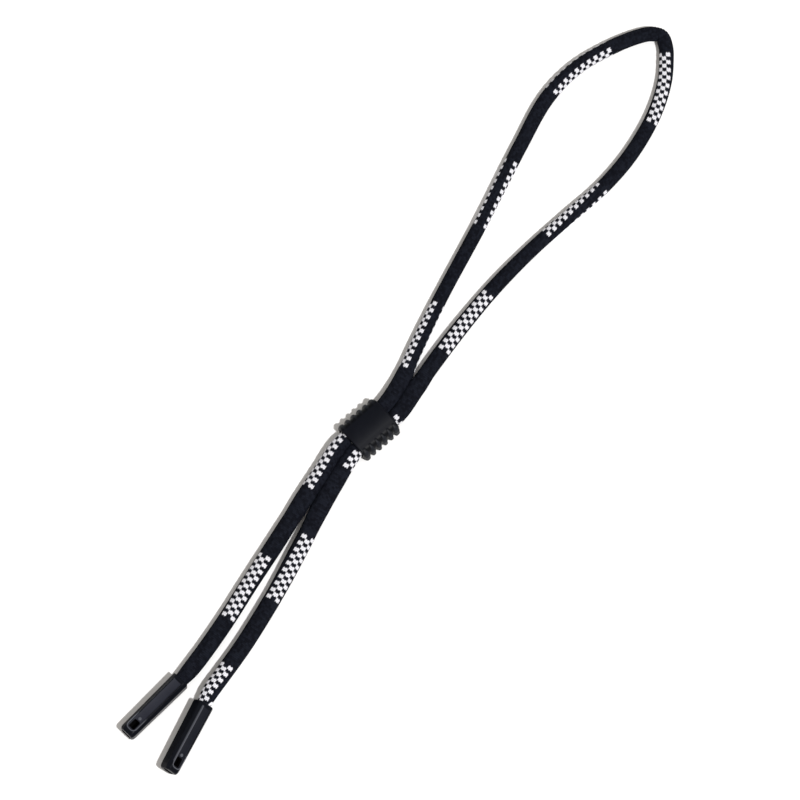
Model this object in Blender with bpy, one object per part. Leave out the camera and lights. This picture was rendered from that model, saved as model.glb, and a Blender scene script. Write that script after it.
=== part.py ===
"""Eyeglasses retainer strap: one limp tubular strap, doubled through a sliding bead, with a moulded grip on
each end that takes the tip of a temple arm.

Metres, +Z up. The strap lies on z = 0 with its loop towards +Y and its grips towards -Y. The origin is the
middle of the slider's flat underside.
"""

import math

import bmesh
import bpy

# ---------------------------------------------------------------- driving dimensions

STRAP_FLATNESS = 0.81  # the strap's thickness as a share of its width
STRAP_SIDES_LEVEL = 3  # the tube's bevel resolution
SAMPLES_PER_SPAN = 2  # strap points for each span of the route

SLIDER_TURN = math.radians(-12.8)  # in plan, along the strap pair that passes through it
SLIDER_LENGTH = 0.0156
SLIDER_WIDTH = 0.0130  # without the ribs
SLIDER_HEIGHT = 0.0072
SLIDER_CROWN = 0.0005
SLIDER_TOP_RADIUS = 0.0026
SLIDER_FOOT_RADIUS = 0.0012
SLIDER_RIM = 0.0005
SLOT_WIDTH = 0.0106
SLOT_HEIGHT = 0.0045
SLOT_MIDDLE = 0.0036  # height of the slot's axis
SLOT_FLARE = 0.0006
RIB_RADIUS = 0.00105
END_RIB_RADIUS = 0.00135
RIB_PITCH = 0.0026
END_RIB_PLACE = 0.0065
RIB_REACH = 0.00075  # how far the ribs stand out of the side walls
RIB_LOW, RIB_HIGH = 0.0008, 0.0061

GRIP_LENGTH = 0.0259
GRIP_WIDTH = 0.0062
GRIP_HEIGHT = 0.0059
GRIP_CHAMFER = 0.00115
GRIP_END_SHARE = 0.92  # the far end's section as a share of the mouth's
GRIP_NOSE = 0.0016  # length of the rounded far end
GRIP_EDGE_ROUND = 0.0003
SOCKET_WIDTH = 0.0051
SOCKET_HEIGHT = 0.0045
SOCKET_DEPTH = 0.0095
TEMPLE_HOLE_WIDTH = 0.0036
TEMPLE_HOLE_HEIGHT = 0.0016
TEMPLE_HOLE_DEPTH = 0.0135
LAND_WIDTH = 0.0036
LAND_START, LAND_END = 0.0012, 0.0243  # distances from the mouth
LAND_DEPTH = 0.00025
WINDOW_WIDTH = 0.0024
WINDOW_START, WINDOW_END = 0.0203, 0.0236
PIP_PLACE = 0.0194
PIP_RADIUS = 0.0006
PIP_HEIGHT = 0.00035

# Each grip's mouth in plan, its turn about Z, and its roll about its own length.
LEFT_MOUTH = (-0.0006, -0.1067)
LEFT_TURN, LEFT_ROLL = math.radians(-8.9), 0.0
RIGHT_MOUTH = (0.0104, -0.1090)
RIGHT_TURN, RIGHT_ROLL = math.radians(8.6), math.radians(43.0)

# The strap's route from the left grip to the right one: x, y, the height of its middle, and its width.
LEFT_LEG = [
    (-0.00193, -0.1152, 0.00295, 0.0044),
    (-0.0012, -0.1107, 0.00295, 0.0044),
    (-0.0006, -0.1067, 0.0029, 0.0046),
    (-0.0002, -0.1020, 0.0026, 0.0055),
    (-0.0001, -0.0940, 0.0024, 0.0058),
    (-0.0005, -0.0810, 0.0024, 0.0058),
    (-0.0015, -0.0665, 0.0024, 0.0058),
    (-0.0026, -0.0480, 0.0024, 0.0058),
    (-0.0036, -0.0340, 0.0024, 0.0055),
    (-0.0043, -0.0210, 0.0027, 0.0052),
    (-0.0047, -0.0100, 0.0034, 0.0049),
]
IN_SLIDER_LEFT = [(-0.0025, 0.0006, 0.0036, 0.0047)]
LOOP = [
    (-0.0006, 0.0088, 0.0035, 0.0048),
    (-0.0011, 0.0200, 0.0026, 0.0050),
    (-0.0035, 0.0310, 0.0022, 0.0049),
    (-0.0070, 0.0500, 0.0020, 0.0046),
    (-0.0113, 0.0800, 0.0020, 0.0046),
    (-0.0161, 0.1090, 0.0020, 0.0047),
    (-0.0185, 0.1280, 0.0021, 0.0049),
    (-0.0167, 0.1420, 0.0021, 0.0049),
    (-0.0118, 0.1538, 0.0021, 0.0049),
    (-0.0070, 0.1619, 0.0021, 0.0048),
    (-0.0034, 0.1661, 0.0021, 0.0048),
    (0.0001, 0.1676, 0.0021, 0.0048),
    (0.0034, 0.1656, 0.0021, 0.0047),
    (0.0066, 0.1615, 0.0021, 0.0047),
    (0.0104, 0.1549, 0.0021, 0.0047),
    (0.0139, 0.1440, 0.0021, 0.0048),
    (0.0156, 0.1290, 0.0021, 0.0049),
    (0.0146, 0.1140, 0.0021, 0.0048),
    (0.0111, 0.0980, 0.0021, 0.0046),
    (0.0079, 0.0825, 0.0021, 0.0047),
    (0.0054, 0.0650, 0.0021, 0.0050),
    (0.0042, 0.0450, 0.0022, 0.0053),
    (0.0041, 0.0310, 0.0023, 0.0053),
    (0.0045, 0.0200, 0.0026, 0.0051),
    (0.0049, 0.0100, 0.0034, 0.0049),
]
IN_SLIDER_RIGHT = [(0.0025, -0.0006, 0.0036, 0.0047)]
RIGHT_LEG = [
    (0.0007, -0.0088, 0.0035, 0.0048),
    (0.0014, -0.0210, 0.0027, 0.0052),
    (0.0026, -0.0320, 0.0024, 0.0055),
    (0.0046, -0.0440, 0.0024, 0.0058),
    (0.0076, -0.0650, 0.0024, 0.0058),
    (0.0092, -0.0840, 0.0024, 0.0058),
    (0.0095, -0.0960, 0.0026, 0.0058),
    (0.0097, -0.1040, 0.0031, 0.0055),
    (0.0104, -0.1090, 0.0034, 0.0046),
    (0.0110, -0.1130, 0.0035, 0.0044),
    (0.01169, -0.1175, 0.0035, 0.0044),
]


# ---------------------------------------------------------------- helpers
def clear_scene():
    for thing in list(bpy.data.objects):
        bpy.data.objects.remove(thing)


def make_material(name, colour, roughness):
    material = bpy.data.materials.new(name)
    material.use_nodes = True
    shader = material.node_tree.nodes["Principled BSDF"]
    shader.inputs["Base Color"].default_value = (*colour, 1.0)
    shader.inputs["Roughness"].default_value = roughness
    shader.inputs["Metallic"].default_value = 0.0
    return material


def make_object(name, mesh, material=None):
    thing = bpy.data.objects.new(name, mesh)
    bpy.context.scene.collection.objects.link(thing)
    if material is not None:
        mesh.materials.append(material)
    return thing


def loft(name, rings):
    """A closed mesh through rings of points, each with as many points as the next, capped at both ends."""
    mesh_data = bmesh.new()
    loops = [[mesh_data.verts.new(point) for point in ring] for ring in rings]
    for ring, following in zip(loops, loops[1:]):
        for i in range(len(ring)):
            j = (i + 1) % len(ring)
            mesh_data.faces.new((ring[i], ring[j], following[j], following[i]))
    mesh_data.faces.new(list(reversed(loops[0])))
    mesh_data.faces.new(loops[-1])
    bmesh.ops.recalc_face_normals(mesh_data, faces=mesh_data.faces)
    mesh = bpy.data.meshes.new(name)
    mesh_data.to_mesh(mesh)
    mesh_data.free()
    return mesh


def arc(centre_x, centre_z, radius, first, last, steps):
    """Points in X and Z along an arc, angles in degrees from +X towards +Z."""
    points = []
    for i in range(steps + 1):
        angle = math.radians(first + (last - first) * i / steps)
        points.append((centre_x + radius * math.cos(angle), centre_z + radius * math.sin(angle)))
    return points


def stadium(width, height, steps):
    """An outline of two half circles joined by straight runs."""
    reach = (width - height) / 2
    return arc(reach, 0.0, height / 2, -90, 90, steps) + arc(-reach, 0.0, height / 2, 90, 270, steps)


def ellipse(width, height, steps):
    return [
        (width / 2 * math.cos(2 * math.pi * i / steps), height / 2 * math.sin(2 * math.pi * i / steps))
        for i in range(steps)
    ]


def along_y(outline, y, grow=0.0, lift=0.0):
    """An X and Z outline as a ring at one y, moved out by about grow from its own middle."""
    ring = []
    for x, z in outline:
        distance = math.hypot(x, z)
        share = (distance + grow) / distance
        ring.append((x * share, y, z * share + lift))
    return ring


def cut(body, tool, operation="DIFFERENCE"):
    """The tool stays as a guide that isn't part of the object."""
    tool.parent = body
    tool.hide_render = True
    tool.display_type = "WIRE"
    modifier = body.modifiers.new(tool.name, "BOOLEAN")
    modifier.operation = operation
    modifier.object = tool


def round_shading(thing, degrees=35):
    thing.data.shade_smooth()
    thing.data.set_sharp_from_angle(angle=math.radians(degrees))


# ---------------------------------------------------------------- strap
def smooth_route(points, samples):
    """A centripetal Catmull-Rom curve through the points, with so many samples for each span."""
    padded = [
        [2 * a - b for a, b in zip(points[0], points[1])],
        *points,
        [2 * a - b for a, b in zip(points[-1], points[-2])],
    ]
    curve = []
    for before, start, end, after in zip(padded, padded[1:], padded[2:], padded[3:]):
        knots = [0.0]
        for a, b in ((before, start), (start, end), (end, after)):
            knots.append(knots[-1] + math.sqrt(math.dist(a[:3], b[:3])))
        for i in range(samples):
            t = knots[1] + (knots[2] - knots[1]) * i / samples
            curve.append(catmull_rom(before, start, end, after, knots, t))
    curve.append(list(points[-1]))
    return curve


def catmull_rom(before, start, end, after, knots, t):
    def mix(a, b, low, high):
        return [(p * (high - t) + q * (t - low)) / (high - low) for p, q in zip(a, b)]

    first = mix(before, start, knots[0], knots[1])
    second = mix(start, end, knots[1], knots[2])
    third = mix(end, after, knots[2], knots[3])
    left = mix(first, second, knots[0], knots[2])
    right = mix(second, third, knots[1], knots[3])
    return mix(left, right, knots[1], knots[2])


def build_strap(fabric):
    """The whole strap as one round tube, flattened by the object's scale along Z."""
    route = LEFT_LEG + IN_SLIDER_LEFT + LOOP + IN_SLIDER_RIGHT + RIGHT_LEG
    samples = smooth_route(route, SAMPLES_PER_SPAN)
    curve = bpy.data.curves.new("strap", "CURVE")
    curve.dimensions = "3D"
    curve.bevel_depth = 0.5
    curve.bevel_resolution = STRAP_SIDES_LEVEL
    curve.use_fill_caps = True
    spline = curve.splines.new("POLY")
    spline.points.add(len(samples) - 1)
    for point, (x, y, z, width) in zip(spline.points, samples):
        point.co = (x, y, z / STRAP_FLATNESS, 1.0)
        point.radius = width
    curve.materials.append(fabric)
    strap = bpy.data.objects.new("strap", curve)
    strap.scale.z = STRAP_FLATNESS
    bpy.context.scene.collection.objects.link(strap)


# ---------------------------------------------------------------- slider
def slider_outline(inset):
    """The slider's section: a flat foot, straight walls and a crowned top, drawn in by inset all round."""
    half = SLIDER_WIDTH / 2
    shoulder = SLIDER_HEIGHT - SLIDER_CROWN
    crown_reach = half - SLIDER_TOP_RADIUS
    outline = arc(
        half - SLIDER_FOOT_RADIUS, SLIDER_FOOT_RADIUS, SLIDER_FOOT_RADIUS - inset, -90, 0, 3
    ) + arc(crown_reach, shoulder - SLIDER_TOP_RADIUS, SLIDER_TOP_RADIUS - inset, 0, 80, 5)
    for share in (0.66, 0.33, 0.0):
        outline.append((crown_reach * share, SLIDER_HEIGHT - SLIDER_CROWN * share**2 - inset))
    return outline + [(-x, z) for x, z in reversed(outline[:-1])]


def slider_body():
    middle = SLIDER_HEIGHT / 2
    stations = [
        (-SLIDER_LENGTH / 2, SLIDER_RIM),
        (-SLIDER_LENGTH / 2 + SLIDER_RIM * 0.3, SLIDER_RIM * 0.3),
        (-SLIDER_LENGTH / 2 + SLIDER_RIM, 0.0),
        (SLIDER_LENGTH / 2 - SLIDER_RIM, 0.0),
        (SLIDER_LENGTH / 2 - SLIDER_RIM * 0.3, SLIDER_RIM * 0.3),
        (SLIDER_LENGTH / 2, SLIDER_RIM),
    ]
    rings = [[(x, y, z - middle) for x, z in slider_outline(inset)] for y, inset in stations]
    return loft("slider", rings)


def rib(name, radius, y, side):
    """A post with domed ends, half sunk into the slider's side wall."""
    sides, dome_steps = 12, 3
    centre_x = side * (SLIDER_WIDTH / 2 + RIB_REACH - radius)
    rings = []
    for i in range(dome_steps):
        angle = math.pi / 2 * (i + 0.35) / dome_steps
        rings.append((radius * math.sin(angle), RIB_LOW + radius * (1 - math.cos(angle))))
    rings.append((radius, RIB_LOW + radius))
    rings += [(r, RIB_LOW + RIB_HIGH - z) for r, z in reversed(rings)]
    middle = SLIDER_HEIGHT / 2
    circles = [
        [
            (
                centre_x + r * math.cos(2 * math.pi * k / sides),
                y + r * math.sin(2 * math.pi * k / sides),
                z - middle,
            )
            for k in range(sides)
        ]
        for r, z in rings
    ]
    return loft(name, circles)


def build_slider(plastic):
    """A ring that squeezes both legs of the strap. Finger ribs stand on both side walls."""
    slider = make_object("slider", slider_body(), plastic)
    slider.location.z = SLIDER_HEIGHT / 2
    slider.rotation_euler.z = SLIDER_TURN
    places = [(RIB_PITCH * step, RIB_RADIUS) for step in (-1.5, -0.5, 0.5, 1.5)]
    places += [(end * END_RIB_PLACE, END_RIB_RADIUS) for end in (-1, 1)]
    for side in (-1, 1):
        for number, (y, radius) in enumerate(places):
            name = f"rib_{number}_{'right' if side > 0 else 'left'}"
            cut(slider, make_object(name, rib(name, radius, y, side)), "UNION")
    lift = SLOT_MIDDLE - SLIDER_HEIGHT / 2
    outline = stadium(SLOT_WIDTH, SLOT_HEIGHT, 8)
    end = SLIDER_LENGTH / 2
    rings = [
        along_y(outline, -end - 0.001, SLOT_FLARE, lift),
        along_y(outline, -end, SLOT_FLARE, lift),
        along_y(outline, -end + SLOT_FLARE, 0.0, lift),
        along_y(outline, end - SLOT_FLARE, 0.0, lift),
        along_y(outline, end, SLOT_FLARE, lift),
        along_y(outline, end + 0.001, SLOT_FLARE, lift),
    ]
    cut(slider, make_object("slot", loft("slot", rings)))
    round_shading(slider)


# ---------------------------------------------------------------- grips
def grip_outline(share, chamfer):
    """The grip's eight-sided section in X and Z about its own middle."""
    half_width = GRIP_WIDTH / 2 * share
    half_height = GRIP_HEIGHT / 2 * share
    quarter = [(half_width, half_height - chamfer), (half_width - chamfer, half_height)]
    upper = quarter + [(-x, z) for x, z in reversed(quarter)]
    return upper + [(-x, -z) for x, z in upper]


def grip_body(name):
    """The mouth is at y = 0 and the far end at y = -GRIP_LENGTH."""
    stations = [
        (0.0, 0.985, GRIP_CHAMFER),
        (-0.0004, 1.0, GRIP_CHAMFER),
        (-GRIP_LENGTH + GRIP_NOSE, GRIP_END_SHARE, GRIP_CHAMFER),
        (-GRIP_LENGTH + GRIP_NOSE * 0.4, GRIP_END_SHARE * 0.93, GRIP_CHAMFER),
        (-GRIP_LENGTH, GRIP_END_SHARE * 0.78, GRIP_CHAMFER * 0.9),
    ]
    rings = [[(x, y, z) for x, z in grip_outline(share, chamfer)] for y, share, chamfer in stations]
    return loft(name, rings)


def box(name, width, start, end, low, high):
    """A box centred on x = 0, from start to end away from the mouth and from low to high."""
    corners = [(width / 2, low), (width / 2, high), (-width / 2, high), (-width / 2, low)]
    return loft(name, [[(x, -start, z) for x, z in corners], [(x, -end, z) for x, z in corners]])


def build_grip(name, rubber, mouth, turn, roll):
    """A moulded grip: a socket for the strap at its mouth, and at its far end a hole for a temple arm's tip."""
    grip = make_object(name, grip_body(name), rubber)
    edges = grip.modifiers.new("rounded_edges", "BEVEL")
    edges.width = GRIP_EDGE_ROUND
    edges.segments = 2
    edges.limit_method = "ANGLE"
    edges.angle_limit = math.radians(30)

    clear = 0.001  # how far a cutter runs past the face that it opens
    outline = ellipse(SOCKET_WIDTH, SOCKET_HEIGHT, 24)
    socket = loft(f"{name}_socket", [along_y(outline, clear), along_y(outline, -SOCKET_DEPTH)])
    cut(grip, make_object(f"{name}_socket", socket))

    outline = stadium(TEMPLE_HOLE_WIDTH, TEMPLE_HOLE_HEIGHT, 6)
    far = -GRIP_LENGTH
    hole = [along_y(outline, far - clear), along_y(outline, far + TEMPLE_HOLE_DEPTH)]
    cut(grip, make_object(f"{name}_temple_hole", loft(f"{name}_temple_hole", hole)))

    top_start, top_end = GRIP_HEIGHT / 2, GRIP_HEIGHT / 2 * GRIP_END_SHARE
    slope = (top_start - top_end) / (GRIP_LENGTH - GRIP_NOSE)
    land = box(f"{name}_land", LAND_WIDTH, LAND_START, LAND_END, 0.0, clear)
    for corner in land.vertices:
        if corner.co.z < clear / 2:
            corner.co.z = top_start - LAND_DEPTH + slope * corner.co.y
        else:
            corner.co.z += top_start
    cut(grip, make_object(f"{name}_land", land))

    window = box(f"{name}_window", WINDOW_WIDTH, WINDOW_START, WINDOW_END, 0.0, top_start + clear)
    cut(grip, make_object(f"{name}_window", window))

    land_height = top_start - LAND_DEPTH - slope * PIP_PLACE
    circle = ellipse(2 * PIP_RADIUS, 2 * PIP_RADIUS, 12)
    heights = [(land_height - 0.0003, 1.0), (land_height + PIP_HEIGHT * 0.6, 1.0), (land_height + PIP_HEIGHT, 0.6)]
    pip = loft(
        f"{name}_pip",
        [[(x * share, y * share - PIP_PLACE, z) for x, y in circle] for z, share in heights],
    )
    cut(grip, make_object(f"{name}_pip", pip), "UNION")
    round_shading(grip)

    reach = max(
        x * math.sin(abs(roll)) + z * math.cos(roll) for x, z in grip_outline(1.0, GRIP_CHAMFER)
    )
    grip.location = (*mouth, reach)
    grip.rotation_euler = (0.0, roll, turn)


clear_scene()
build_strap(make_material("knit_fabric", (0.012, 0.013, 0.018), 0.85))
build_slider(make_material("moulded_plastic", (0.011, 0.012, 0.015), 0.38))
grip_rubber = make_material("grip_rubber", (0.010, 0.011, 0.014), 0.34)
build_grip("left_grip", grip_rubber, LEFT_MOUTH, LEFT_TURN, LEFT_ROLL)
build_grip("right_grip", grip_rubber, RIGHT_MOUTH, RIGHT_TURN, RIGHT_ROLL)
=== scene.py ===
import math

import bmesh
import bpy
import numpy as np
from mathutils import Matrix, Vector


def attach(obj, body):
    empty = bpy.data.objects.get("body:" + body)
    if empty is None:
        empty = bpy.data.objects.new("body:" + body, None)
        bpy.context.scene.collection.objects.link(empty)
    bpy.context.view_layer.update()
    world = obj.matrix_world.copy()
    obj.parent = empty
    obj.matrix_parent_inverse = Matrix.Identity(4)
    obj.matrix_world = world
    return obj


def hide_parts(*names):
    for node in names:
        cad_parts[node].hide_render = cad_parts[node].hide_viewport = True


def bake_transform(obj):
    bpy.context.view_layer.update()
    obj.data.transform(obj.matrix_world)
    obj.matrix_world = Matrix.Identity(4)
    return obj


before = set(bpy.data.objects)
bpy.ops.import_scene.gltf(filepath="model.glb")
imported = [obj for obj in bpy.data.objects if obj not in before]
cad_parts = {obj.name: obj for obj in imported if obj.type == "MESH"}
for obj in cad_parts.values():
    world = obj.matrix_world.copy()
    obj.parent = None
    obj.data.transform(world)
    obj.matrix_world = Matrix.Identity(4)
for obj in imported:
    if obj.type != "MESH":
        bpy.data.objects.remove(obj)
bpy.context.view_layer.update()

# ---------------------------------------------------------------- the strap's facts
# The strap's route from the left grip to the right one, the points of its CAD solid: x, y, the height
# of its middle, its width, and how far in degrees its knitted pattern has turned round the tube, from
# the top towards the inside of the loop.
LEFT_LEG = [
    (-0.00193, -0.1152, 0.00295, 0.0044, 10),
    (-0.0012, -0.1107, 0.00295, 0.0044, 10),
    (-0.0006, -0.1067, 0.0029, 0.0046, 10),
    (-0.0002, -0.1020, 0.0026, 0.0055, 10),
    (-0.0001, -0.0940, 0.0024, 0.0058, 10),
    (-0.0005, -0.0810, 0.0024, 0.0058, 8),
    (-0.0015, -0.0665, 0.0024, 0.0058, -5),
    (-0.0026, -0.0480, 0.0024, 0.0058, -22),
    (-0.0036, -0.0340, 0.0024, 0.0055, -32),
    (-0.0043, -0.0210, 0.0027, 0.0052, -40),
    (-0.0047, -0.0100, 0.0034, 0.0049, -50),
]
IN_SLIDER_LEFT = [(-0.0025, 0.0006, 0.0036, 0.0047, -55)]
LOOP = [
    (-0.0006, 0.0088, 0.0035, 0.0048, -55),
    (-0.0011, 0.0200, 0.0026, 0.0050, -50),
    (-0.0035, 0.0310, 0.0022, 0.0049, -50),
    (-0.0070, 0.0500, 0.0020, 0.0046, -55),
    (-0.0113, 0.0800, 0.0020, 0.0046, -85),
    (-0.0161, 0.1090, 0.0020, 0.0047, -108),
    (-0.0185, 0.1280, 0.0021, 0.0049, -110),
    (-0.0167, 0.1420, 0.0021, 0.0049, -112),
    (-0.0118, 0.1538, 0.0021, 0.0049, -118),
    (-0.0070, 0.1619, 0.0021, 0.0048, -128),
    (-0.0034, 0.1661, 0.0021, 0.0048, -136),
    (0.0001, 0.1676, 0.0021, 0.0048, -143),
    (0.0034, 0.1656, 0.0021, 0.0047, -150),
    (0.0066, 0.1615, 0.0021, 0.0047, -158),
    (0.0104, 0.1549, 0.0021, 0.0047, -175),
    (0.0139, 0.1440, 0.0021, 0.0048, -193),
    (0.0156, 0.1290, 0.0021, 0.0049, -235),
    (0.0146, 0.1140, 0.0021, 0.0048, -275),
    (0.0111, 0.0980, 0.0021, 0.0046, -315),
    (0.0079, 0.0825, 0.0021, 0.0047, -340),
    (0.0054, 0.0650, 0.0021, 0.0050, -362),
    (0.0042, 0.0450, 0.0022, 0.0053, -369),
    (0.0041, 0.0310, 0.0023, 0.0053, -380),
    (0.0045, 0.0200, 0.0026, 0.0051, -400),
    (0.0049, 0.0100, 0.0034, 0.0049, -410),
]
IN_SLIDER_RIGHT = [(0.0025, -0.0006, 0.0036, 0.0047, -412)]
RIGHT_LEG = [
    (0.0007, -0.0088, 0.0035, 0.0048, -410),
    (0.0014, -0.0210, 0.0027, 0.0052, -400),
    (0.0026, -0.0320, 0.0024, 0.0055, -392),
    (0.0046, -0.0440, 0.0024, 0.0058, -387),
    (0.0076, -0.0650, 0.0024, 0.0058, -370),
    (0.0092, -0.0840, 0.0024, 0.0058, -352),
    (0.0095, -0.0960, 0.0026, 0.0058, -345),
    (0.0097, -0.1040, 0.0031, 0.0055, -332),
    (0.0104, -0.1090, 0.0034, 0.0046, -328),
    (0.0110, -0.1130, 0.0035, 0.0044, -325),
    (0.01169, -0.1175, 0.0035, 0.0044, -325),
]
SAMPLES_PER_SPAN = 40  # points on the route's curve between two of its rows
STRAP_FLATNESS = 0.81  # thickness as a share of width

# The two legs bulge sideways where they press against one another, but not inside the slider.
PRESS = 0.00034
PRESS_FROM, PRESS_TO = -0.040, 0.027  # where in y they do
PRESS_RISE, PRESS_FALL = 0.008, 0.005  # how quickly it comes and goes
PRESS_CLEAR, PRESS_CLEAR_FADE = 0.006, 0.003  # none so close to the slider's middle

# The limp tube's width and height swell and shrink slowly along it, one against the other.
SWELL_SHORT, SWELL_LONG = 210.0, 87.0  # two waves, in radians a metre
SWELL_SHORT_SHARE, SWELL_LONG_PHASE = 0.6, 1.0
SWELL_WIDER, SWELL_LOWER = 0.010, 0.012

# The crease at the loop's far end, and the two shallow wrinkles that run out from it.
FOLD_DEPTH, FOLD_LENGTH = 0.0008, 0.0007
WRINKLE_DEPTH, WRINKLE_LENGTH = 0.00028, 0.00035
WRINKLE_REACH = 0.0009  # how far they spread along the strap, level with its middle
WRINKLE_FADE = 6.0  # how sharply they end towards the outside of the loop

# Jersey knit: stitches stand in columns (wales) round the tube and in rows (courses) along it.
WALES = 20
COURSE = 0.0006557  # height of a row of stitches
COLUMNS_PER_WALE = 6
RINGS_PER_COURSE = 4
STITCH_SLANT = 0.5  # how far a stitch's legs rise across half a wale, in courses
STITCH_REACH = 0.56  # half size of a leg's grain, in its own cell
RELIEF = 0.00024  # how far the furrows sink below the grains
CREST = 0.00012  # how far the grains stand out of the CAD solid's oval
WHITE_STANDS = 0.00006  # the pattern's thread is thicker
STITCH_SEED = 41
STITCH_UNEVEN = 0.12  # how much the furrows' depth differs from stitch to stitch
SHADE_SPREAD = 0.3  # how much the stitches' shade does

# The two-colour ornament, a run of plain checks, on two opposite sides of the tube.
CHECKS = ("##..##", "##..##", "..##..", "..##..")
ORNAMENT = CHECKS * 9 + CHECKS[:2]
# The ornaments' middles, as distances along the strap: even but for the strap's own stretch.
ORNAMENT_PLACES = (
    0.0469, 0.0998, 0.1525, 0.2079, 0.2605, 0.3100, 0.3624, 0.4156, 0.4684, 0.5200, 0.5717)

# Where the strap's pieces meet, as distances along it, in metres.
LEFT_END = 0.0205
LEFT_IN_SLIDER = 0.1156
LOOP_FIRST_SPLIT = 0.2300
LOOP_SECOND_SPLIT = 0.3480
RIGHT_IN_SLIDER = 0.4650
RIGHT_END = 0.5610

SOCKET_REACH = 0.0098  # the strap's ends are stiff this far, in the grips' sockets and just outside
# Where in y the legs and the loop would start and stop giving way as the slider moves.
LEGS_GIVE, LOOP_GIVES = (-0.094, -0.009), (0.009, 0.178)


# ---------------------------------------------------------------- meshes
def mark(mesh, **marks):
    """Stores numbers at a mesh's points, for its material to read."""
    for key, values in marks.items():
        layer = mesh.attributes.new(key, "FLOAT", "POINT")
        layer.data.foreach_set("value", np.asarray(values, np.float32).ravel())


def vertex_places(mesh):
    """The x, the y and the z of a mesh's points, as three arrays."""
    places = np.zeros(len(mesh.vertices) * 3, np.float32)
    mesh.vertices.foreach_get("co", places)
    return places.reshape(-1, 3).T


def fade(distance, length):
    """0 before a line and 1 well past it, with a ramp of this length between."""
    return np.clip(distance / length, 0, 1)


def linked(name, data):
    """A new object in the scene for a mesh, a camera or a lamp."""
    thing = bpy.data.objects.new(name, data)
    bpy.context.scene.collection.objects.link(thing)
    return thing


def piece_from_rings(name, rings, material, **marks):
    """A closed tube through an array of rings (ring, point, xyz), with sharp edges round its caps."""
    count, around = rings.shape[:2]
    index = np.arange(count * around).reshape(count, around)
    here, there = index[:-1], index[1:]
    quads = np.stack([here, np.roll(here, -1, 1), np.roll(there, -1, 1), there], -1)
    quads = quads.reshape(-1, 4)
    loops = np.concatenate([quads.ravel(), index[0][::-1], index[-1]])
    starts = np.concatenate([np.arange(len(quads)) * 4, len(quads) * 4 + np.array([0, around])])
    mesh = bpy.data.meshes.new(name)
    mesh.vertices.add(count * around)
    mesh.vertices.foreach_set("co", rings.astype(np.float32).ravel())
    mesh.loops.add(len(loops))
    mesh.loops.foreach_set("vertex_index", loops.astype(np.int32))
    mesh.polygons.add(len(starts))
    mesh.polygons.foreach_set("loop_start", starts.astype(np.int32))
    mesh.update(calc_edges=True)
    mesh.validate()
    mesh.shade_smooth()
    edges = np.zeros(len(mesh.edges) * 2, np.int32)
    mesh.edges.foreach_get("vertices", edges)
    ring_of = edges.reshape(-1, 2) // around
    first, second = ring_of.T
    on_cap = (first == second) & ((first == 0) | (first == count - 1))
    sharp = mesh.attributes.new("sharp_edge", "BOOLEAN", "EDGE")
    sharp.data.foreach_set("value", on_cap)
    mark(mesh, **marks)
    mesh.materials.append(material)
    return linked(name, mesh)


def spline_through(points, samples):
    """A centripetal Catmull-Rom curve through rows of numbers, as the strap's CAD solid follows it."""
    points = np.array(points, float)
    padded = np.vstack([2 * points[0] - points[1], points, 2 * points[-1] - points[-2]])
    curve = []
    for i in range(len(points) - 1):
        p = padded[i : i + 4]
        steps = np.sqrt(np.linalg.norm(np.diff(p[:, :3], axis=0), axis=1))
        k = np.concatenate([[0.0], np.cumsum(steps)])
        t = (k[1] + (k[2] - k[1]) * np.arange(samples) / samples)[:, None]

        def mix(a, b, low, high):
            return (a * (high - t) + b * (t - low)) / (high - low)

        first, second, third = (mix(p[j], p[j + 1], k[j], k[j + 1]) for j in range(3))
        left, right = mix(first, second, k[0], k[2]), mix(second, third, k[1], k[3])
        curve.append(mix(left, right, k[1], k[2]))
    return np.vstack([*curve, points[-1:]])


def unit(vectors):
    return vectors / np.linalg.norm(vectors, axis=-1, keepdims=True)


# ---------------------------------------------------------------- the strap
class Strap:
    """The strap's centreline and frames, one for each ring of the knitted tube."""

    def __init__(self):
        route = LEFT_LEG + IN_SLIDER_LEFT + LOOP + IN_SLIDER_RIGHT + RIGHT_LEG
        dense = spline_through(route, SAMPLES_PER_SPAN)
        steps = np.linalg.norm(np.diff(dense[:, :3], axis=0), axis=1)
        distance = np.concatenate([[0.0], np.cumsum(steps)])
        self.length = distance[-1]
        self.ring_gap = COURSE / RINGS_PER_COURSE
        self.at = np.arange(0.0, self.length, self.ring_gap)
        columns = [np.interp(self.at, distance, dense[:, i]) for i in range(5)]
        self.middle = np.stack(columns[:3], -1)
        y = self.middle[:, 1]
        pressed = fade(y - PRESS_FROM, PRESS_RISE) * fade(PRESS_TO - y, PRESS_FALL)
        pressed *= fade(np.abs(y) - PRESS_CLEAR, PRESS_CLEAR_FADE)
        self.half_width = columns[3] / 2 + PRESS * pressed
        self.half_height = columns[3] / 2 * STRAP_FLATNESS
        self.turn = np.radians(columns[4])
        self.along = unit(np.gradient(self.middle, axis=0))
        self.inward = unit(np.cross(self.along, (0.0, 0.0, 1.0)))
        self.upward = np.cross(self.inward, self.along)
        self.apex = self.at[np.argmax(self.middle[:, 1])]

    def ring(self, distance):
        return int(round(distance / self.ring_gap))


def stitch_pattern(courses, rng):
    """For each stitch (course, wale): whether its thread is white, and how it differs from the rest."""
    white = np.zeros((courses, WALES), bool)
    rows = np.array([[stitch == "#" for stitch in row] for row in ORNAMENT])
    half = rows.shape[1] // 2
    for place in ORNAMENT_PLACES:
        start = int(round(place / COURSE - len(rows) / 2))
        for column in (-half, WALES // 2 - half):
            for i, row in enumerate(rows):
                if start + i < courses:
                    white[start + i, (column + np.arange(len(row))) % WALES] = row
    return white, rng.normal(0.0, 1.0, white.shape)


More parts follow.
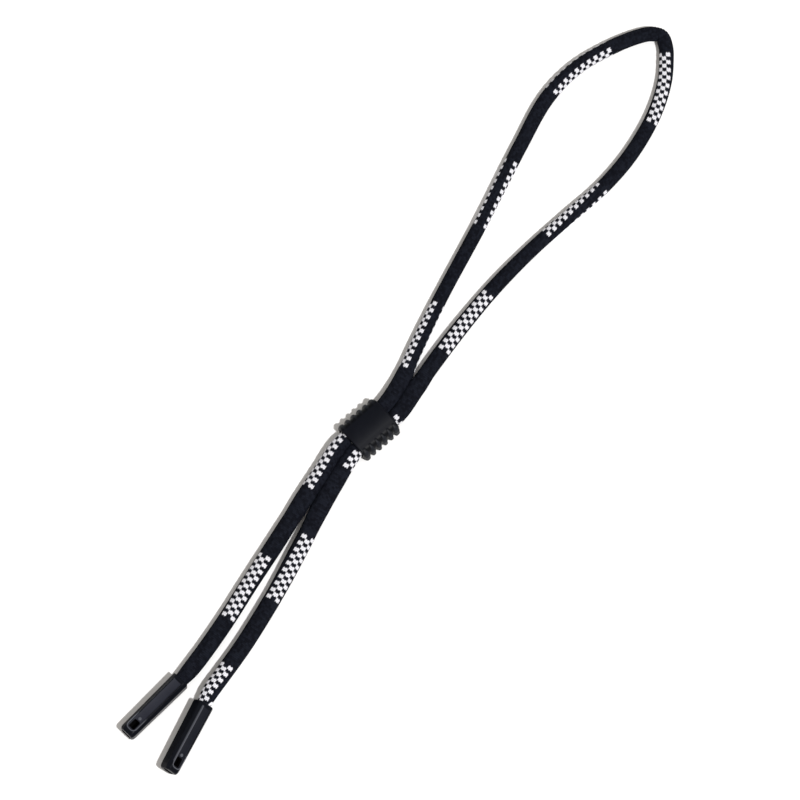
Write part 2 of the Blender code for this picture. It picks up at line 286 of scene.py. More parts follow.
def knit_surface(strap, white, differences):
    """What each point of the tube shows: its height in its stitch, white thread or not, and shade."""
    v = np.arange(len(strap.at))[:, None] / RINGS_PER_COURSE
    u = np.arange(WALES * COLUMNS_PER_WALE)[None, :] / COLUMNS_PER_WALE
    from_middle = abs(2 * (u % 1.0) - 1)
    raised = v - STITCH_SLANT * from_middle
    course = np.clip(np.floor(raised).astype(int), 0, len(white) - 1)
    wale = np.broadcast_to(np.floor(u).astype(int), course.shape)

    def grain(offset):
        return np.sqrt(np.clip(1 - (offset / STITCH_REACH) ** 2, 0.0, 1.0))

    height = grain(from_middle - 0.5) * grain(raised - np.floor(raised) - 0.5)
    is_white = white[course, wale].astype(float)
    shade = differences[course, wale]
    return height, is_white, shade


def build_strap_rings(strap, height, is_white, shade):
    """The knitted tube's points. The relief sinks inwards from just outside the CAD solid's oval."""
    columns = WALES * COLUMNS_PER_WALE
    around = 2 * np.pi * np.arange(columns) / columns
    angle = around[None, :] + strap.turn[:, None]
    swell = np.sin(strap.at * SWELL_SHORT) * SWELL_SHORT_SHARE
    swell += np.sin(strap.at * SWELL_LONG + SWELL_LONG_PHASE)
    half_width = strap.half_width * (1 + SWELL_WIDER * swell)
    half_height = strap.half_height * (1 - SWELL_LOWER * swell)
    aside = np.sin(angle) * half_width[:, None]
    above = np.cos(angle) * half_height[:, None]
    normal_aside = np.sin(angle) / half_width[:, None]
    normal_above = np.cos(angle) / half_height[:, None]
    size = np.hypot(normal_aside, normal_above)
    sink = RELIEF * (1 - height) * (1 + STITCH_UNEVEN * shade)
    sink -= WHITE_STANDS * is_white * height + CREST
    aside = aside - sink * normal_aside / size - fold_depth(strap, angle)
    above = above - (sink + wrinkle_depth(strap, angle)) * normal_above / size
    offsets = aside[..., None] * strap.inward[:, None, :]
    offsets += above[..., None] * strap.upward[:, None, :]
    return strap.middle[:, None, :] + offsets


def fold_depth(strap, angle):
    """The crease on the inside of the loop's far end, where the limp tube folds and doesn't bend."""
    beside = np.abs(strap.at - strap.apex)[:, None]
    inner = np.clip(np.sin(angle), 0.0, 1.0) ** 2
    return FOLD_DEPTH * np.exp(-beside / FOLD_LENGTH) * inner


def wrinkle_depth(strap, angle):
    """Two shallow wrinkles that run out from the crease over the top and under the bottom."""
    beside = np.abs(strap.at - strap.apex)[:, None]
    reach = WRINKLE_REACH * (1 - np.sin(angle))
    inner = 1 / (1 + np.exp(-WRINKLE_FADE * np.sin(angle)))
    return WRINKLE_DEPTH * np.exp(-(((beside - reach) / WRINKLE_LENGTH) ** 2)) * inner


def build_strap(material):
    """The strap, and its pieces: for each name the object, its middle line and its largest width."""
    strap = Strap()
    rng = np.random.default_rng(STITCH_SEED)
    courses = len(strap.at) // RINGS_PER_COURSE + 2
    white, differences = stitch_pattern(courses, rng)
    height, is_white, shade = knit_surface(strap, white, differences)
    points = build_strap_rings(strap, height, is_white, shade)
    cuts = (0.0, LEFT_END, LEFT_IN_SLIDER, LOOP_FIRST_SPLIT, LOOP_SECOND_SPLIT, RIGHT_IN_SLIDER,
            RIGHT_END, strap.length)
    names = ("strap_left_end", "strap_left_leg", "strap_loop_left", "strap_loop_top",
             "strap_loop_right", "strap_right_leg", "strap_right_end")
    pieces = {}
    for name, start, end in zip(names, cuts, cuts[1:]):
        first, last = strap.ring(start), min(strap.ring(end), len(strap.at) - 1)
        part = slice(first, last + 1)
        # grain, the height in the stitch, also sets the painted shade in the furrows.
        piece = piece_from_rings(name, points[part], material, white=is_white[part],
                                 grain=height[part], shade=0.5 + SHADE_SPREAD * shade[part])
        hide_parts("strap")
        pieces[name] = (piece, strap.middle[part], strap.half_width[part].max() * 2)
    return strap, pieces


def join_strap(strap, pieces):
    """Bakes each strap piece's placing into its mesh. It also lists where the ends would bend with the
    grips and the legs and the loop would give way to the slider, but nothing uses that list.
    """
    def where(distance):
        return tuple(strap.middle[strap.ring(distance)])

    right_mouth = strap.length - SOCKET_REACH
    flexing = {
        "strap_left_end": ("left_grip", "strap", where(SOCKET_REACH), where(LEFT_END)),
        "strap_right_end": ("right_grip", "strap", where(right_mouth), where(RIGHT_END)),
    }
    leg_start, leg_stop = ((0.0, y, 0.0) for y in LEGS_GIVE)
    loop_start, loop_stop = ((0.0, y, 0.0) for y in LOOP_GIVES)
    for name in ("strap_left_leg", "strap_right_leg"):
        flexing[name] = ("strap", "slider", leg_start, leg_stop)
    for name in ("strap_loop_left", "strap_loop_top", "strap_loop_right"):
        flexing[name] = ("slider", "strap", loop_start, loop_stop)
    for name, (piece, _, _) in pieces.items():
        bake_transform(piece)
    for name, (piece, path, diameter) in pieces.items():
        if name.endswith("end"):
            continue


# ---------------------------------------------------------------- moulded parts
# The slider and the grips have their CAD solids' sizes, with the ribs, beads and rounded edges that
# the real mouldings have.
BEYOND = 0.001  # cutters reach this far past the faces that they cut

SLIDER_TURN = math.radians(-12.8)
SLIDER_LENGTH, SLIDER_WIDTH, SLIDER_HEIGHT = 0.0156, 0.0130, 0.0072
SLIDER_CROWN = 0.0005
SLIDER_TOP_RADIUS, SLIDER_FOOT_RADIUS = 0.0026, 0.0012
SLOT_WIDTH, SLOT_HEIGHT, SLOT_MIDDLE = 0.0106, 0.0045, 0.0036
SLOT_FLARE = 0.0006  # how much further out the slot's walls are at its mouths
# How the flare dies out: how far in from the end, and the share of it that is left there.
SLOT_FLARE_SHAPE = ((-BEYOND, 1.0), (0.0, 1.0), (0.0002, 0.5), (0.0006, 0.12), (0.0012, 0.0))
RIB_PITCH, END_RIB_PLACE = 0.0026, 0.0065
RIB_WIDTH, END_RIB_WIDTH = 0.00175, 0.0022
# A rib's middle line, out and up from the slider's middle: over the shoulder, then down the side wall.
RIB_LINE = ((0.0046, 0.0055), (0.0053, 0.0052), (0.00585, 0.0046), (0.0062, 0.0038), (0.0064, 0.0013))
RIB_THICKNESS = 0.0024
RIB_SQUARENESS = 2.6  # 2 is round
CROWN_STEPS = 12
# The slider's two ends are rounded: how far in from the end, and how far the section is drawn in there.
SLIDER_ROUNDING = ((0.0, 0.00030), (0.00008, 0.00014), (0.0002, 0.00004), (0.0004, 0.0))
SLIDER_VOXEL, SLIDER_PASSES = 0.00012, 4
# Marks for the painted light on the ribs and the painted shade between them: the ribs stand out of the
# plain section, in a band along the shoulders and walls.
PROUD_FROM, PROUD_FADE = 0.00006, 0.00016
BAND_FROM, BAND_END, BAND_FADE = 0.0044, 0.0074, 0.0003

GRIP_LENGTH, GRIP_WIDTH, GRIP_HEIGHT = 0.0259, 0.0062, 0.0059
GRIP_CHAMFER, GRIP_END_SHARE, GRIP_NOSE = 0.00115, 0.92, 0.0016
NOSE_SHARE = 0.74  # of the section is left at the tip of the nose
GRIP_MOUTH = ((0.0, 0.965), (0.00012, 0.985), (0.0005, 1.0))  # places and shares of the section
SOCKET_WIDTH, SOCKET_HEIGHT, SOCKET_DEPTH = 0.0051, 0.0045, 0.0095
HOLE_WIDTH, HOLE_HEIGHT, HOLE_DEPTH = 0.0036, 0.0016, 0.0135
SOCKET_CHAMFER, HOLE_CHAMFER = (0.0005, 0.0003), (0.0004, 0.0002)  # how deep, and how wide
LAND_WIDTH, LAND_START, LAND_END, LAND_DEPTH = 0.0036, 0.0012, 0.0243, 0.00025
LAND_ROUND = LAND_WIDTH * 0.4  # length of its rounded far end
LAND_END_POWER = 0.7  # its half width there is an ellipse's to this power, so it ends blunter
LAND_HOLLOW, LAND_SIDES = 1.25, 0.7  # its floor, in its depth: how low in the middle, less at the sides
LAND_STEPS = 48
WINDOW_WIDTH, WINDOW_START, WINDOW_END, WINDOW_RADIUS = 0.0024, 0.0203, 0.0236, 0.00035
PIP_PLACE, PIP_RADIUS, PIP_HEIGHT = 0.0194, 0.00065, 0.00042
BEAD_RADIUS = 0.00022
BEAD_SETBACK, BEAD_SINK = 0.0008, 0.00002  # from the land's start, and into the top face
GRIP_VOXEL, GRIP_PASSES = 0.000102, 3
# Marks for the land's painted sheen, the painted highlights, and the openings' rough walls with their
# painted shade.
RIGHT_LAND_SHEEN = 0.35  # how much of the land's painted grey sheen the right grip has
LAND_TOP = GRIP_HEIGHT / 2 * GRIP_END_SHARE - 0.0006  # the land's floor is above this all along
LAND_BESIDE, LAND_BEFORE, LAND_BEHIND = 0.0002, 0.0001, 0.0003  # its edges keep the body's colour and roughness, without the painted sheen
CORE_MARGIN = 0.00012  # how far round the openings their walls' rough finish and painted shade reach
HIGHLIGHT_FROM, HIGHLIGHT_FADE = 0.0175, 0.002  # the beads are painted pale as a highlight from here to the far end
HIGHLIGHT_ABOVE, HIGHLIGHT_RISE = 0.00004, 0.00008  # and only what stands so far above the top face
RIDGE_HALF_WIDTH = 0.00035
GRIPS = {  # each grip's mouth in plan, its turn about Z, and its roll about its own length
    "left_grip": ((-0.0006, -0.1067), math.radians(-8.9), 0.0),
    "right_grip": ((0.0104, -0.1090), math.radians(8.6), math.radians(43.0)),
}


def loft(name, rings):
    """A closed mesh object through rings of points, capped at both ends."""
    shape = bmesh.new()
    loops = [[shape.verts.new(point) for point in ring] for ring in rings]
    for ring, following in zip(loops, loops[1:]):
        for i in range(len(ring)):
            j = (i + 1) % len(ring)
            shape.faces.new((ring[i], ring[j], following[j], following[i]))
    shape.faces.new(list(reversed(loops[0])))
    shape.faces.new(loops[-1])
    bmesh.ops.recalc_face_normals(shape, faces=shape.faces)
    mesh = bpy.data.meshes.new(name)
    shape.to_mesh(mesh)
    shape.free()
    return linked(name, mesh)


def arc(centre_x, centre_z, radius, first, last, steps):
    """Points along an arc, angles in degrees from the first axis towards the second."""
    angles = [math.radians(first + (last - first) * i / steps) for i in range(steps + 1)]
    return [(centre_x + radius * math.cos(a), centre_z + radius * math.sin(a)) for a in angles]


def stadium(width, height, steps):
    reach = (width - height) / 2
    return arc(reach, 0.0, height / 2, -90, 90, steps) + arc(-reach, 0.0, height / 2, 90, 270, steps)


def rounded_box(width, height, radius, steps):
    x, z = width / 2 - radius, height / 2 - radius
    corners = ((x, z, 0), (-x, z, 90), (-x, -z, 180), (x, -z, 270))
    return [point for cx, cz, first in corners
            for point in arc(cx, cz, radius, first, first + 90, steps)]


def along_y(outline, y, grow=0.0, lift=0.0):
    """An outline across Y as a ring at one y, moved out by about grow."""
    ring = []
    for x, z in outline:
        share = 1 + grow / math.hypot(x, z)
        ring.append((x * share, y, z * share + lift))
    return ring


def sweep(name, line, width, thickness, power, steps=16):
    """A rounded bar along a line of points, width across and thickness deep, with domed ends."""
    line = [Vector(point) for point in line]
    across = (line[-1] - line[0]).cross(line[1] - line[0])
    across = across.normalized() if across.length > 1e-12 else Vector((0.0, 0.0, 1.0))
    dome = [(-0.95, 0.32), (-0.75, 0.66), (-0.4, 0.92), (0.0, 1.0)]
    stations = [(line[0], line[1] - line[0], push, share) for push, share in dome]
    for before, here, after in zip(line, line[1:], line[2:]):
        stations.append((here, (here - before).normalized() + (after - here).normalized(), 0.0, 1.0))
    stations += [(line[-1], line[-1] - line[-2], -push, share) for push, share in reversed(dome)]
    rings = []
    for place, direction, push, share in stations:
        direction = direction.normalized()
        deep = direction.cross(across)
        middle = place + direction * push * thickness / 2
        ring = []
        for i in range(steps):
            a = 2 * math.pi * i / steps
            c, s = math.cos(a), math.sin(a)
            c, s = (math.copysign(abs(v) ** (2 / power), v) for v in (c, s))
            ring.append(middle + (across * width / 2 * c + deep * thickness / 2 * s) * share)
        rings.append(ring)
    return loft(name, rings)


def combine(body, tool, operation="DIFFERENCE"):
    modifier = body.modifiers.new(tool.name, "BOOLEAN")
    modifier.operation = operation
    modifier.object = tool


def mould(body, voxel, passes, material):
    """Turns a body with its Booleans into one fine mesh whose edges are rounded as a moulding's are."""
    cutters = [modifier.object for modifier in body.modifiers if modifier.type == "BOOLEAN"]
    remesh = body.modifiers.new("remesh", "REMESH")
    remesh.mode = "VOXEL"
    remesh.voxel_size = voxel
    smooth = body.modifiers.new("smooth", "SMOOTH")
    smooth.factor = 0.5
    smooth.iterations = passes
    evaluated = body.evaluated_get(bpy.context.evaluated_depsgraph_get())
    mesh = bpy.data.meshes.new_from_object(evaluated)
    mesh.name = body.name
    body.modifiers.clear()
    body.data = mesh
    mesh.materials.clear()
    mesh.materials.append(material)
    mesh.shade_smooth()
    for cutter in cutters:
        bpy.data.objects.remove(cutter)
    return body


def slider_outline(inset):
    """The slider's section, drawn in by inset: a flat foot, straight walls and a crowned top."""
    half = SLIDER_WIDTH / 2
    shoulder = SLIDER_HEIGHT - SLIDER_CROWN
    crown_reach = half - SLIDER_TOP_RADIUS
    foot, top = SLIDER_FOOT_RADIUS, SLIDER_TOP_RADIUS
    outline = arc(half - foot, foot, foot - inset, -90, 0, 8)
    outline += arc(crown_reach, shoulder - top, top - inset, 0, 80, 20)
    for i in range(CROWN_STEPS - 2, -1, -1):
        share = i / CROWN_STEPS
        outline.append((crown_reach * share, SLIDER_HEIGHT - SLIDER_CROWN * share**2 - inset))
    return outline + [(-x, z) for x, z in reversed(outline[:-1])]


def build_slider(material):
    """A crowned ring round both legs of the strap, with finger ribs over its shoulders and sides."""
    end = SLIDER_LENGTH / 2
    stations = [(y - end, inset) for y, inset in SLIDER_ROUNDING]
    stations += [(end - y, inset) for y, inset in reversed(SLIDER_ROUNDING)]
    rings = [[(x, y, z) for x, z in slider_outline(inset)] for y, inset in stations]
    slider = loft("slider_body", rings)
    ribs = [(RIB_PITCH * step, RIB_WIDTH) for step in (-1.5, -0.5, 0.5, 1.5)]
    ribs += [(side * END_RIB_PLACE, END_RIB_WIDTH) for side in (-1, 1)]
    for side in (-1, 1):
        for number, (y, width) in enumerate(ribs):
            line = [(side * u, y, z) for u, z in RIB_LINE]
            rib = sweep(f"rib_{number}_{side}", line, width, RIB_THICKNESS, RIB_SQUARENESS)
            combine(slider, rib, "UNION")
    outline = stadium(SLOT_WIDTH, SLOT_HEIGHT, 24)
    flare = [(y, SLOT_FLARE * share) for y, share in SLOT_FLARE_SHAPE]
    rings = [along_y(outline, y - end, grow, SLOT_MIDDLE) for y, grow in flare]
    rings += [along_y(outline, end - y, grow, SLOT_MIDDLE) for y, grow in reversed(flare)]
    combine(slider, loft("slot", rings))
    mould(slider, SLIDER_VOXEL, SLIDER_PASSES, material)
    mark_ribs(slider.data)
    slider.data.transform(Matrix.Rotation(SLIDER_TURN, 4, "Z"))
    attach(slider, "slider")
    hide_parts("slider")


def mark_ribs(mesh):
    """Marks how far the ribs stand out of the slider's plain section, and the band they stand in, for
    the painted light and shade.
    """
    x, y, z = np.abs(vertex_places(mesh))
    centre_x = SLIDER_WIDTH / 2 - SLIDER_TOP_RADIUS
    centre_z = SLIDER_HEIGHT - SLIDER_CROWN - SLIDER_TOP_RADIUS
    out = np.hypot(np.maximum(x - centre_x, 0), np.maximum(z - centre_z, 0)) - SLIDER_TOP_RADIUS
    band = fade(x - BAND_FROM, BAND_FADE) * fade(BAND_END - y, BAND_FADE)
    mark(mesh, proud=fade(out - PROUD_FROM, PROUD_FADE), band=band)


def grip_outline(share):
    """The grip's eight-sided section about its own middle."""
    x, z, c = GRIP_WIDTH / 2 * share, GRIP_HEIGHT / 2 * share, GRIP_CHAMFER * share
    quarter = [(x, z - c), (x - c, z)]
    upper = quarter + [(-a, b) for a, b in reversed(quarter)]
    return upper + [(-a, -b) for a, b in upper]


def grip_top(y):
    """The height of the grip's top face at a distance from its mouth."""
    return GRIP_HEIGHT / 2 * (1 - (1 - GRIP_END_SHARE) * y / (GRIP_LENGTH - GRIP_NOSE))


def land_half_width(y):
    """The land's half width at a distance from the mouth: straight, with a round far end."""
    into_end = max(0.0, y - (LAND_END - LAND_ROUND))
    narrowed = math.sqrt(max(0.0, 1 - (into_end / LAND_ROUND) ** 2))
    return LAND_WIDTH / 2 * narrowed**LAND_END_POWER


def opening(chamfer, depth):
    """An opening's depths, and how far out its walls are there: a chamfered mouth, then straight."""
    deep, wide = chamfer
    return (-BEYOND, wide), (0.0, wide), (deep, 0.0), (depth, 0.0)


def cut_sockets(grip, name):
    """The strap's socket in the grip's mouth, and the hole for an arm's tip in its far end."""
    turns = [2 * math.pi * i / 48 for i in range(48)]
    socket = [(SOCKET_WIDTH / 2 * math.cos(a), SOCKET_HEIGHT / 2 * math.sin(a)) for a in turns]
    rings = [along_y(socket, -y, grow) for y, grow in opening(SOCKET_CHAMFER, SOCKET_DEPTH)]
    combine(grip, loft(f"{name}_socket", rings))
    hole = stadium(HOLE_WIDTH, HOLE_HEIGHT, 12)
    rings = [along_y(hole, y - GRIP_LENGTH, grow) for y, grow in opening(HOLE_CHAMFER, HOLE_DEPTH)]
    combine(grip, loft(f"{name}_hole", rings))


def cut_land(grip, name):
    """The sunken land on the top face, and the window through its far end into the hole."""
    across = [i / 8 - 1 for i in range(17)]
    last = LAND_END - 0.00002  # just short of the end, where the land has no width
    rings = []
    for i in range(LAND_STEPS + 1):
        y = LAND_START + (last - LAND_START) * i / LAND_STEPS
        half, top = land_half_width(y), grip_top(y)
        floor = [(half * u, -y, top - LAND_DEPTH * (LAND_HOLLOW - LAND_SIDES * u * u)) for u in across]
        rings.append(floor + [(half, -y, top + BEYOND), (-half, -y, top + BEYOND)])
    combine(grip, loft(f"{name}_land", rings))
    middle = (WINDOW_START + WINDOW_END) / 2
    outline = rounded_box(WINDOW_WIDTH, WINDOW_END - WINDOW_START, WINDOW_RADIUS, 5)
    rings = [[(x, y - middle, z) for x, y in outline] for z in (0.0, GRIP_HEIGHT)]
    combine(grip, loft(f"{name}_window", rings))


def add_bead(grip, name):
    """A thin raised line down both sides of the land and round its far end."""
    turns = [math.pi / 2 * i / 7 for i in range(7)]
    far_side = [LAND_END - LAND_ROUND + LAND_ROUND * math.sin(a) for a in turns]
    straight = (LAND_START + BEAD_SETBACK, (LAND_START + LAND_END) / 2)
    side = [(land_half_width(y), y) for y in (*straight, *far_side)]
    frame_line = side + [(-x, y) for x, y in reversed(side)]
    line = [(x, -y, grip_top(y) - BEAD_SINK) for x, y in frame_line]
    combine(grip, bead(f"{name}_bead", line), "UNION")


def add_pip(grip, name):
    """The small round pip on the land, before the window."""
    floor = grip_top(PIP_PLACE) - LAND_DEPTH * LAND_HOLLOW
    root = (-0.0004, 1.0)  # depth under the floor
    dome = [(0.0, 1.0), (0.35, 0.95), (0.7, 0.72), (0.93, 0.4), (1.0, 0.12)]
    levels = [root, *((PIP_HEIGHT * up, share) for up, share in dome)]
    circle = arc(0.0, 0.0, PIP_RADIUS, 0, 345, 23)
    rings = [[(x * share, y * share - PIP_PLACE, floor + up) for x, y in circle]
             for up, share in levels]
    combine(grip, loft(f"{name}_pip", rings), "UNION")


def build_grip(name, material):
    """A moulded grip, with its openings, land, bead and pip, rolled and turned into its place."""
    turns = [math.pi / 2 * i / 6 for i in range(7)]
    nose = [(GRIP_LENGTH - GRIP_NOSE * (1 - math.sin(a)),
             GRIP_END_SHARE * (NOSE_SHARE + (1 - NOSE_SHARE) * math.cos(a))) for a in turns]
    stations = [*GRIP_MOUTH, *nose]
    rings = [[(x, -y, z) for x, z in grip_outline(share)] for y, share in stations]
    grip = loft(f"{name}_body", rings)
    for shape in (cut_sockets, cut_land, add_bead, add_pip):
        shape(grip, name)
    mould(grip, GRIP_VOXEL, GRIP_PASSES, material)
    (x, y), turn, roll = GRIPS[name]
    mark_finish(grip.data, roll)
    outline = grip_outline(1.0)
    reach = max(across * math.sin(abs(roll)) + up * math.cos(roll) for across, up in outline)
    placed = Matrix.Rotation(turn, 4, "Z") @ Matrix.Rotation(roll, 4, "Y")
    grip.data.transform(Matrix.Translation((x, y, reach)) @ placed)
    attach(grip, name)
    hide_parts(name)


def build_yarn_end(material):
    """A loose end of the white yarn, by the right grip's mouth."""
    line = [(0.01225, -0.1090, 0.0046), (0.01240, -0.1081, 0.0048), (0.01255, -0.1073, 0.0044)]
    yarn = sweep("yarn_end", line, 0.0008, 0.0007, 2.0)
    yarn.data.materials.append(material)
    yarn.data.shade_smooth()
    ones = np.ones(len(yarn.data.vertices))
    mark(yarn.data, white=ones, grain=ones)
    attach(yarn, "right_grip")


def bead(name, line, steps=8):
    """A thin raised line that follows points on the top face."""
    line = [Vector(point) for point in line]
    up = Vector((0.0, 0.0, 1.0))
    turns = [2 * math.pi * k / steps for k in range(steps)]
    rings = []
    for i, here in enumerate(line):
        before, after = line[max(i - 1, 0)], line[min(i + 1, len(line) - 1)]
        side = (after - before).normalized().cross(up).normalized()
        rings.append([here + (side * math.cos(a) + up * math.sin(a)) * BEAD_RADIUS for a in turns])
    return loft(name, rings)


def mark_finish(mesh, roll):
    """Marks the land's painted sheen, the painted highlights on the beads, ridge and pip, and the
    openings' rough walls, painted dark as shade.
    """
    x, y, z = vertex_places(mesh)
    y = -y  # the distance from the mouth
    top = grip_top(y)

    # The land's painted grey sheen, weaker on the right grip, which lies on its side.
    land = fade(LAND_WIDTH / 2 - LAND_BESIDE - np.abs(x), 0.00015)
    land *= fade(y - LAND_START - LAND_BEFORE, 0.0002) * fade(LAND_END - LAND_BEHIND - y, 0.0003)
    land *= (z > LAND_TOP) * (RIGHT_LAND_SHEEN if roll else 1.0)

    # The openings' walls: rough, and painted dark as shade.
    window = (np.abs(x) < WINDOW_WIDTH / 2 + CORE_MARGIN) & (z > 0) & (z < LAND_TOP)
    window &= (y > WINDOW_START - CORE_MARGIN) & (y < WINDOW_END + CORE_MARGIN)
    hole = (np.abs(x) < HOLE_WIDTH / 2 + CORE_MARGIN) & (np.abs(z) < HOLE_HEIGHT / 2 + CORE_MARGIN)
    hole &= y < GRIP_LENGTH - 0.0002

    # Painted highlights: the beads towards the far end, the right grip's ridge and the pip are painted
    # pale.
    pale = fade(z - top - HIGHLIGHT_ABOVE, HIGHLIGHT_RISE) * fade(y - HIGHLIGHT_FROM, HIGHLIGHT_FADE)
    if roll:  # this grip lies on its side, with one of the land's edges uppermost as a ridge, painted pale as a highlight
        ridge = np.clip(1.4 - np.abs(x + LAND_WIDTH / 2) / RIDGE_HALF_WIDTH, 0, 1) * (z > top - 0.0003)
        ridge *= (y < LAND_END - LAND_WIDTH / 2) & (y > LAND_START)
        pale = np.maximum(pale, ridge)
    pip = (np.hypot(x, y - PIP_PLACE) < PIP_RADIUS - 0.00005) & (z > top - LAND_DEPTH)
    mark(mesh, land=land, core=window | hole, bead=np.maximum(pale, pip))


# ---------------------------------------------------------------- stage, light, camera
PHOTO_TURN = math.radians(35.6)  # the camera's sideways direction from the part's +X
PHOTO_ELEVATION = math.radians(75.0)
PHOTO_TARGET = Vector((0.0026, 0.0141, 0.00375))
CAMERA_DISTANCE = 12.0  # a long lens, so that nothing tapers
FRAME_WIDTH = 0.2667  # what the picture's width shows at the target
SENSOR_WIDTH = 36.0

KEY_TOWARDS, KEY_STRENGTH, KEY_ANGLE = (1.09, -0.14, 2.1), 3.15, math.radians(3.5)
SKY_COLOUR, SKY_STRENGTH = (1.0, 0.96, 0.91), 0.54
# Shiny things mirror a dim room instead: how bright it is at the horizon and overhead.
MIRRORED_COLOUR = (0.85, 0.92, 1.0)
WALLS, CEILING, CEILING_FROM = 0.10, 0.45, 0.75
FLOOR_SIZE, FLOOR_HEIGHT, FLOOR_GREY = 14.0, -0.00016, 0.88


def build_camera():
    """The photograph's viewing angle."""
    right = Vector((math.cos(PHOTO_TURN), math.sin(PHOTO_TURN), 0.0))
    ahead = Vector((-math.sin(PHOTO_TURN), math.cos(PHOTO_TURN), 0.0))
    back = -ahead * math.cos(PHOTO_ELEVATION) + Vector((0, 0, 1)) * math.sin(PHOTO_ELEVATION)
    up = back.cross(right)
    camera = linked("camera", bpy.data.cameras.new("camera"))
    camera.data.sensor_width = SENSOR_WIDTH
    camera.data.lens = SENSOR_WIDTH * CAMERA_DISTANCE / FRAME_WIDTH
    camera.data.clip_start = 0.01
    axes = Matrix((right, up, back)).transposed().to_4x4()
    camera.matrix_world = Matrix.Translation(PHOTO_TARGET + back * CAMERA_DISTANCE) @ axes
    bpy.context.scene.camera = camera


def build_key_light():
    lamp = bpy.data.lights.new("key", "SUN")
    lamp.energy = KEY_STRENGTH
    lamp.angle = KEY_ANGLE
    light = linked("key", lamp)
    light.rotation_mode = "QUATERNION"
    light.rotation_quaternion = Vector(KEY_TOWARDS).to_track_quat("Z", "Y")


def build_world():
    """A white background to look at, warm light for surfaces, and a dim room for them to mirror."""
    world = bpy.data.worlds.new("studio")
    world.use_nodes = True
    nodes, links = world.node_tree.nodes, world.node_tree.links

    def background(node, colour, strength):
        node.inputs["Color"].default_value = (*colour, 1.0)
        node.inputs["Strength"].default_value = strength
        return node

    seen = background(nodes["Background"], (1.0, 1.0, 1.0), 1.0)
    sky = background(nodes.new("ShaderNodeBackground"), SKY_COLOUR, SKY_STRENGTH)
    mirrored = background(nodes.new("ShaderNodeBackground"), MIRRORED_COLOUR, WALLS)
    direction = nodes.new("ShaderNodeTexCoord")
    parts = nodes.new("ShaderNodeSeparateXYZ")
    links.new(direction.outputs["Generated"], parts.inputs["Vector"])
    room = nodes.new("ShaderNodeMapRange")
    links.new(parts.outputs["Z"], room.inputs["Value"])
    room.inputs["From Max"].default_value = CEILING_FROM
    room.inputs["To Min"].default_value = WALLS
    room.inputs["To Max"].default_value = CEILING
    links.new(room.outputs["Result"], mirrored.inputs["Strength"])
    path = nodes.new("ShaderNodeLightPath")
    shown = sky.outputs["Background"]
    for kind, other in (("Is Glossy Ray", mirrored), ("Is Camera Ray", seen)):
        chooser = nodes.new("ShaderNodeMixShader")
        links.new(path.outputs[kind], chooser.inputs["Fac"])
        links.new(shown, chooser.inputs[1])
        links.new(other.outputs["Background"], chooser.inputs[2])
        shown = chooser.outputs["Shader"]
    links.new(shown, nodes["World Output"].inputs["Surface"])
    bpy.context.scene.world = world


def build_floor():
    """A pale floor, just under the strap's lowest stitches."""
    bpy.ops.mesh.primitive_plane_add(size=FLOOR_SIZE, location=(0.0, 0.0, FLOOR_HEIGHT))
    floor = bpy.context.object
    floor.name = "floor"
    finish = Finish("floor")
    finish.shader.inputs["Base Color"].default_value = (FLOOR_GREY, FLOOR_GREY, FLOOR_GREY, 1.0)
    finish.set(Roughness=0.9, Specular_IOR_Level=0.1)
    floor.data.materials.append(finish.material)


# ---------------------------------------------------------------- materials
class Finish:
    """A material with a Principled shader, and short ways to add nodes to it."""

    def __init__(self, name):
        self.material = bpy.data.materials.new(name)
        self.material.use_nodes = True
        self.nodes, self.links = self.material.node_tree.nodes, self.material.node_tree.links
        self.shader = self.nodes["Principled BSDF"]

    def set(self, **values):
        """Gives sockets of the shader a number, or links them to a node's output."""
        for key, value in values.items():
            self.feed(self.shader.inputs[key.replace("_", " ")], value)

    def feed(self, target, value):
        """Gives a socket a number, a colour or another node's output."""
        if isinstance(value, tuple):
            target.default_value = (*value, 1.0)
        elif isinstance(value, float):
            target.default_value = value
        else:
            self.links.new(value, target)

    def attribute(self, key):
        node = self.nodes.new("ShaderNodeAttribute")
        node.attribute_name = key
        return node.outputs["Fac"]

    def noise(self, scale, detail):
        """Noise in the part's own space, at so many features a metre."""
        place = self.nodes.new("ShaderNodeTexCoord")
        node = self.nodes.new("ShaderNodeTexNoise")
        node.inputs["Scale"].default_value = scale
        node.inputs["Detail"].default_value = detail
        self.links.new(place.outputs["Object"], node.inputs["Vector"])
        return node.outputs["Fac"]

    def mixed(self, a, b, share):
        """Colours a and b, mixed by a share."""
        node = self.nodes.new("ShaderNodeMix")
        node.data_type = "RGBA"
        first, second = (socket for socket in node.inputs if socket.type == "RGBA")
        for target, value in ((node.inputs["Factor"], share), (first, a), (second, b)):
            self.feed(target, value)
        return next(socket for socket in node.outputs if socket.type == "RGBA")

    def blended(self, a, b, share):
        """Numbers a and b, mixed by a share."""
        node = self.nodes.new("ShaderNodeMix")
        for key, value in (("Factor", share), ("A", a), ("B", b)):
            self.feed(node.inputs[key], value)
        return node.outputs["Result"]

    def spread(self, value, low, high):
        """A value from 0 to 1 spread from low to high."""
        node = self.nodes.new("ShaderNodeMapRange")
        self.links.new(value, node.inputs["Value"])
        node.inputs["To Min"].default_value = low
        node.inputs["To Max"].default_value = high
        return node.outputs["Result"]

    def bump(self, *heights):
        """Adds fine relief: pairs of a height and its depth in metres."""
        last = None
        for height, depth in heights:
            node = self.nodes.new("ShaderNodeBump")
            node.inputs["Strength"].default_value = 1.0
            node.inputs["Distance"].default_value = depth
            self.links.new(height, node.inputs["Height"])
            if last is not None:
                self.links.new(last, node.inputs["Normal"])
            last = node.outputs["Normal"]
        self.set(Normal=last)


